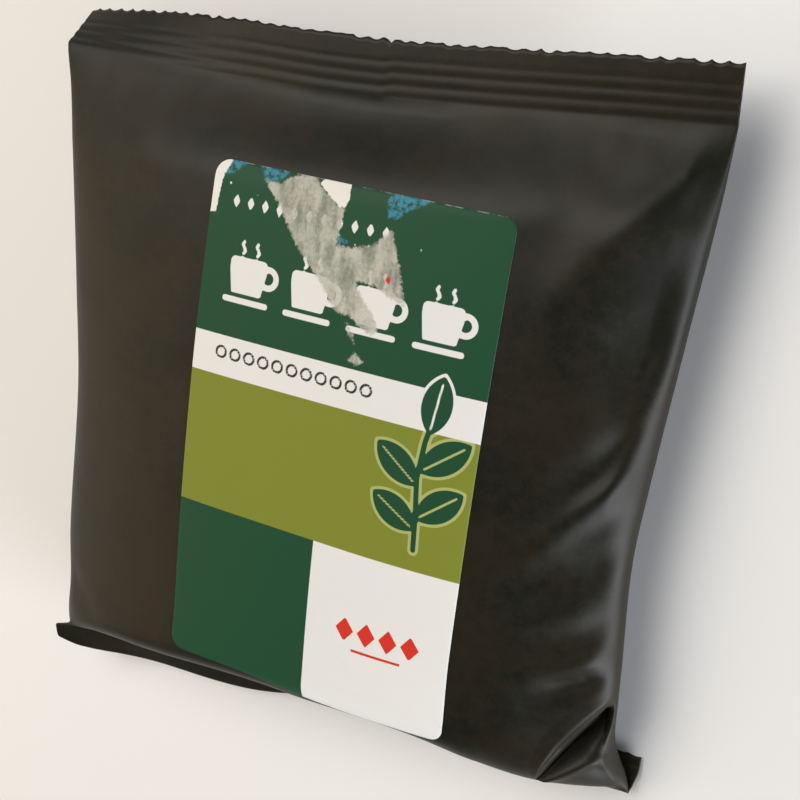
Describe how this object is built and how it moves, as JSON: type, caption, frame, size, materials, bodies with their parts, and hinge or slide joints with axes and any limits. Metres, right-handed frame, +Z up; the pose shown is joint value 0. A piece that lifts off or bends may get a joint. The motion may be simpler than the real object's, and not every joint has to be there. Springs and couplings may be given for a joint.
{
  "type": "coffee bag",
  "caption": "Shut pillow bag of ground coffee in dark film with crimped end seals and a paper label, lying on its back.",
  "frame": {"origin": "under the middle of the bag's box, on the surface that it lies on", "axes": "+X to the right across the bag, +Y from the folded bottom seal to the open fin of the top seal, +Z up through the label"},
  "size_m": [0.1352, 0.1444, 0.0264],
  "materials": {
    "film": "matte black packaging film with a soft sheen",
    "label_paper": "satin printed paper, worn and torn near the top"
  },
  "bodies": {
    "root": {"bag": "film", "label": "label_paper"}
  },
  "joints": []
}
